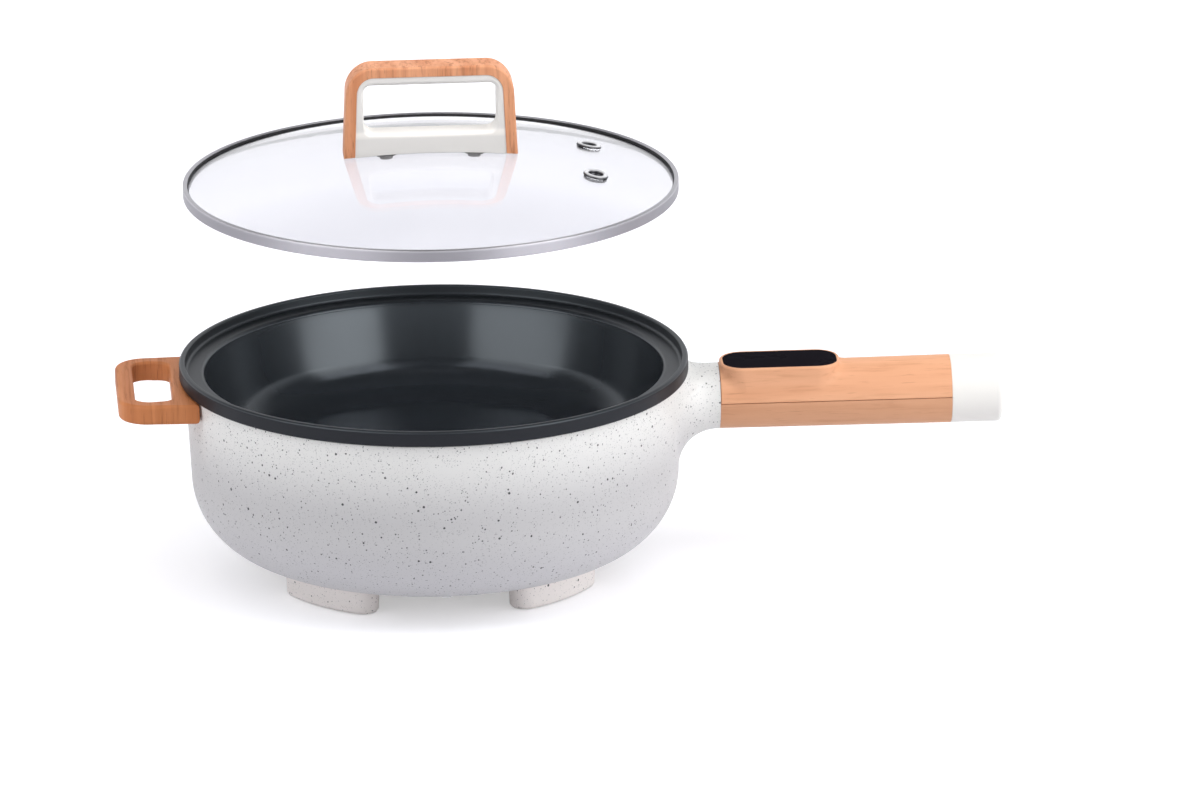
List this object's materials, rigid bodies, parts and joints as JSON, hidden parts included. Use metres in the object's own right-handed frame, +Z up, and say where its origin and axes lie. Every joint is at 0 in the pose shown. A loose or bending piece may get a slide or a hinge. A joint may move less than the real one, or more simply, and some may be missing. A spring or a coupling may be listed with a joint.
{
  "type": "electric skillet",
  "caption": "Electric skillet: speckled round body, non-stick bowl, loop helper handle, long round wood-look handle with a touch panel, and a lift-off domed glass lid.",
  "frame": {"origin": "on the standing plane, midway between the helper handle's outer edge and the long handle's end, in the upright plane through both handles; the bowl axis is 74 mm towards -X", "axes": "+X along the long handle away from the bowl, +Y away from the viewer of the picture, +Z up"},
  "size_m": [0.522, 0.3, 0.3103],
  "materials": {
    "speckled_plastic": "satin white with dark specks",
    "nonstick": "satin non-stick coating on cast aluminium",
    "black_silicone": "matte",
    "plain_steel": "zinc plated",
    "dark_steel": "blackened",
    "wood_look_dark": "red-brown wood-look plastic",
    "wood_look": "light tan wood-look plastic",
    "white_plastic": "satin",
    "ivory_plastic": "satin",
    "black_panel": "high gloss",
    "circuit_board": "green solder mask",
    "black_plastic": "satin",
    "brass": "bright",
    "aluminium": "mill finish",
    "wire_cover": "satin",
    "glass": "clear",
    "band_steel": "brushed"
  },
  "bodies": {
    "cooker": {"housing": "speckled_plastic", "bowl": "nonstick", "rim_gasket": "black_silicone", "base_cover": "speckled_plastic", "foot_pads": "black_silicone", "base_screws": "plain_steel", "tie_rods": "plain_steel", "rod_nuts": "plain_steel", "helper_handle": "wood_look_dark", "helper_screws": "plain_steel", "handle_upper": "wood_look", "handle_lower": "wood_look", "handle_cap": "white_plastic", "handle_tube": "plain_steel", "handle_screws": "plain_steel", "control_panel": "black_panel", "touch_board": "circuit_board", "touch_contacts": "black_silicone", "display": "black_plastic", "power_inlet": "black_plastic", "inlet_pins": "brass", "heating_element": "plain_steel", "element_pins": "plain_steel", "heat_spreader": "aluminium", "heat_shield": "aluminium", "shield_spacers": "plain_steel", "shield_nuts": "plain_steel", "sensor_bracket": "plain_steel", "thermostat": "white_plastic", "temperature_sensor": "aluminium", "thermal_fuse": "white_plastic", "fuse_clip": "plain_steel", "power_board": "circuit_board", "board_screws": "plain_steel", "relay": "black_plastic", "terminal_block": "black_plastic", "transformer": "black_plastic", "mains_leads": "wire_cover", "heater_leads": "wire_cover", "signal_cable": "wire_cover", "sensor_lead": "wire_cover"},
    "lid": {"lid_glass": "glass", "lid_rim": "band_steel", "lid_seal": "black_silicone", "lid_handle_arch": "wood_look", "lid_handle_frame": "ivory_plastic", "lid_screws": "dark_steel", "lid_washers": "black_silicone", "steam_vents": "band_steel"}
  },
  "joints": [
    {"name": "lid_lift", "type": "slide", "parent": "cooker", "child": "lid", "axis": [0, 0, 1], "range_m": [-0.107, 0]}
  ]
}
